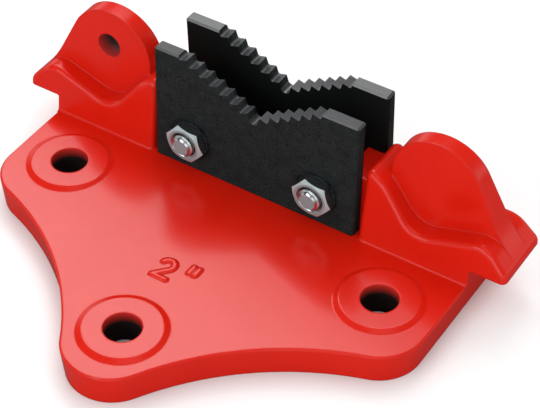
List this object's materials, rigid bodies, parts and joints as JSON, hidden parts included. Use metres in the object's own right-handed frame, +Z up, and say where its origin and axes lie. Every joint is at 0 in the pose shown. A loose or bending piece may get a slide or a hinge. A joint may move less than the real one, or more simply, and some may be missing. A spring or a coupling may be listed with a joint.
{
  "type": "chain pipe vise base",
  "caption": "Bench chain pipe vise: cast base with mounting holes, toothed vee jaws bolted to its beam, and an eared beam with overhanging chain noses.",
  "frame": {"origin": "underside of the base, on the middle plane between the two jaws and midway along them", "axes": "+X along the jaws towards the ear with no hole, -Y towards the nuts and the front lobe of the base, +Z up"},
  "size_m": [0.2306, 0.1553, 0.0692],
  "materials": {
    "red_paint": "gloss red enamel on a casting",
    "black_steel": "blackened, fine sandy",
    "bright_zinc": "bright zinc plate"
  },
  "bodies": {
    "vise_base": {"base_casting": "red_paint", "front_jaw": "black_steel", "rear_jaw": "black_steel", "bolt_left": "bright_zinc", "bolt_right": "bright_zinc"},
    "left_nut": {"nut_left": "bright_zinc"},
    "right_nut": {"nut_right": "bright_zinc"}
  },
  "joints": [
    {"name": "left_nut_turn", "type": "hinge", "parent": "vise_base", "child": "left_nut", "pos_m": [-0.0305, -0.0182, 0.0297], "axis": [0, -1, 0], "continuous": true},
    {"name": "right_nut_turn", "type": "hinge", "parent": "vise_base", "child": "right_nut", "pos_m": [0.0305, -0.0182, 0.0297], "axis": [0, -1, 0], "continuous": true}
  ]
}
